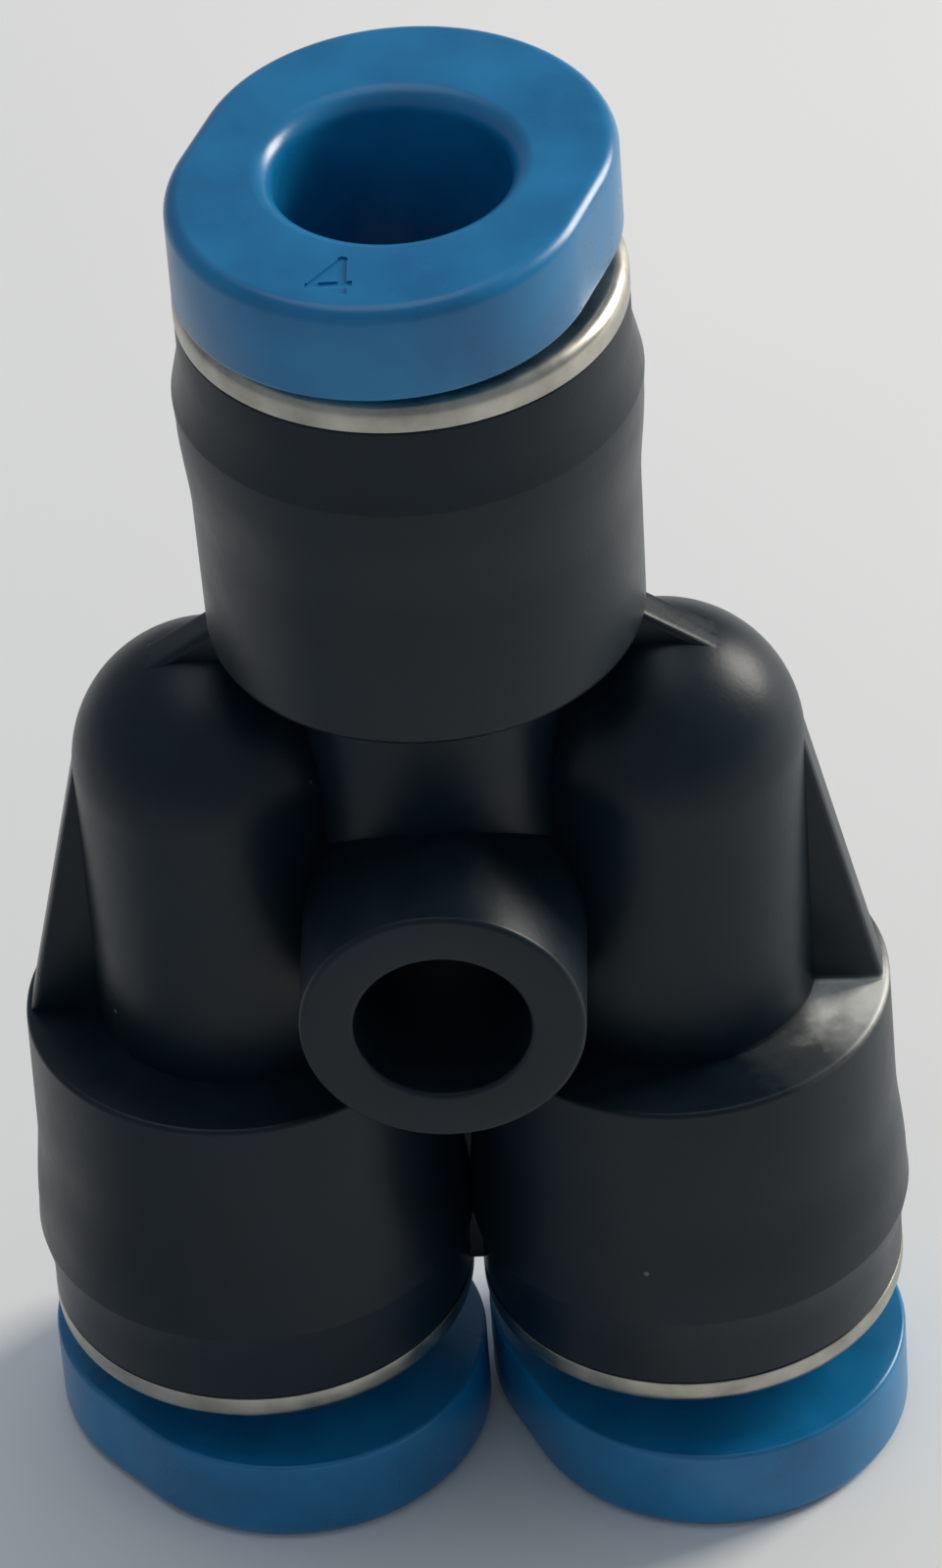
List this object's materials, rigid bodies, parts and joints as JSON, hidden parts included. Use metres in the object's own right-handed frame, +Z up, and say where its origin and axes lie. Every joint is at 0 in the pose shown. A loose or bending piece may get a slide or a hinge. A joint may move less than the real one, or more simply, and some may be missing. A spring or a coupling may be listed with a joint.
{
  "type": "push-in y connector",
  "caption": "Push-in Y connector for small plastic tube: black moulding with a screw boss, metal collars and blue oval release rings that slide in to free the tube.",
  "frame": {"origin": "centre of the footprint on the plane that the two lower release rings stand on", "axes": "+Z up to the top port along its axis, +X from the left lower port to the right one, -Y to the front, along the screw hole"},
  "size_m": [0.0166, 0.01, 0.0291],
  "materials": {
    "black_moulding": "moulded polyamide or polyester, satin matt",
    "blue_ring": "moulded acetal, soft gloss",
    "nickel_collar": "turned brass, nickel plated, satin",
    "spring_steel": "stamped stainless strip",
    "seal_rubber": "moulded nitrile rubber",
    "support_acetal": "moulded natural acetal"
  },
  "bodies": {
    "housing": {"body": "black_moulding", "top_collar": "nickel_collar", "left_collar": "nickel_collar", "right_collar": "nickel_collar", "top_grip_claw": "spring_steel", "left_grip_claw": "spring_steel", "right_grip_claw": "spring_steel", "top_support_ring": "support_acetal", "left_support_ring": "support_acetal", "right_support_ring": "support_acetal", "top_seal": "seal_rubber", "left_seal": "seal_rubber", "right_seal": "seal_rubber"},
    "top_ring": {"top_release_ring": "blue_ring"},
    "left_ring": {"left_release_ring": "blue_ring"},
    "right_ring": {"right_release_ring": "blue_ring"}
  },
  "joints": [
    {"name": "top_press", "type": "slide", "parent": "housing", "child": "top_ring", "axis": [0, 0, -1], "range_m": [-0.00073, 0.00032]},
    {"name": "left_press", "type": "slide", "parent": "housing", "child": "left_ring", "axis": [0, 0, 1], "range_m": [0, 0.00105]},
    {"name": "right_press", "type": "slide", "parent": "housing", "child": "right_ring", "axis": [0, 0, 1], "range_m": [0, 0.00105]}
  ]
}
